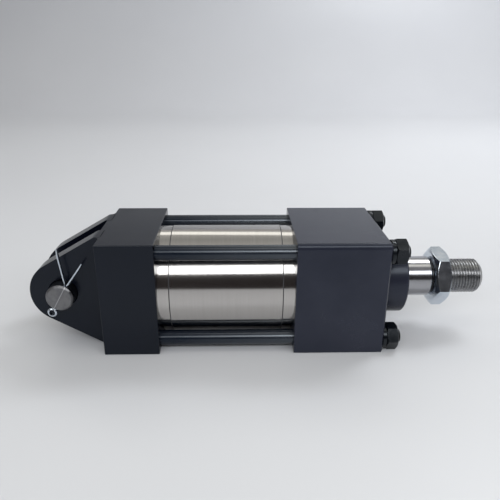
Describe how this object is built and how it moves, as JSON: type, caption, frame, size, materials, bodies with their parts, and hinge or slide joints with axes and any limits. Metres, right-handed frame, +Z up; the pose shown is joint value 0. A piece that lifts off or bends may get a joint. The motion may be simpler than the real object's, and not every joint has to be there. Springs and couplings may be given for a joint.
{
  "type": "tie-rod hydraulic cylinder",
  "caption": "Square-cover tie-rod hydraulic cylinder with a rear clevis and pin, a ground steel tube and a short male-threaded rod with a lock nut.",
  "frame": {"origin": "middle of the overall length, on the plane that the covers stand on, rod fully in", "axes": "+X along the rod and out of the front cover, +Z up, +Y towards the ports"},
  "size_m": [0.3094, 0.08, 0.079],
  "materials": {
    "black_coat": "semi-gloss black coating",
    "black_oxide": "oiled black oxide",
    "ground_steel": "ground around the tube",
    "chrome": "polished hard chrome, threads bare",
    "zinc_plate": "bright zinc plate",
    "turned_steel": "turned",
    "bronze": "machined",
    "nitrile": "matt",
    "polyurethane": "matt",
    "wear_band": "woven, matt"
  },
  "bodies": {
    "housing": {"rear_cover": "black_coat", "front_cover": "black_coat", "barrel_tube": "ground_steel", "tube_o_ring_rear": "nitrile", "tube_o_ring_front": "nitrile", "tie_rod_front_top": "black_oxide", "spring_washer_front_top": "black_oxide", "tie_nut_front_top": "black_oxide", "tie_rod_front_bottom": "black_oxide", "spring_washer_front_bottom": "black_oxide", "tie_nut_front_bottom": "black_oxide", "tie_rod_back_top": "black_oxide", "spring_washer_back_top": "black_oxide", "tie_nut_back_top": "black_oxide", "tie_rod_back_bottom": "black_oxide", "spring_washer_back_bottom": "black_oxide", "tie_nut_back_bottom": "black_oxide", "rod_gland": "black_coat", "gland_o_ring": "nitrile", "rod_bush": "bronze", "rod_seal": "polyurethane", "rod_wiper": "nitrile", "port_plug_rear": "zinc_plate", "port_plug_front": "zinc_plate"},
    "seals": {"piston_seal_rear": "polyurethane", "piston_wear_ring": "wear_band", "piston_seal_front": "polyurethane"},
    "rod": {"piston": "turned_steel", "piston_o_ring": "nitrile", "piston_rod": "chrome", "piston_nut": "black_oxide", "rod_lock_nut": "zinc_plate"},
    "pin": {"clevis_pin": "turned_steel", "split_pin_front": "zinc_plate", "split_pin_back": "zinc_plate"}
  },
  "joints": [
    {"name": "rod_slide", "type": "slide", "parent": "housing", "child": "seals", "axis": [1, 0, 0], "range_m": [0, 0.05]},
    {"name": "rod_turn", "type": "hinge", "parent": "seals", "child": "rod", "pos_m": [0, 0, 0.039], "axis": [1, 0, 0], "continuous": true},
    {"name": "pin_turn", "type": "hinge", "parent": "housing", "child": "pin", "pos_m": [-0.1329, 0, 0.039], "axis": [0, -1, 0], "range_deg": [-30, 50]}
  ]
}
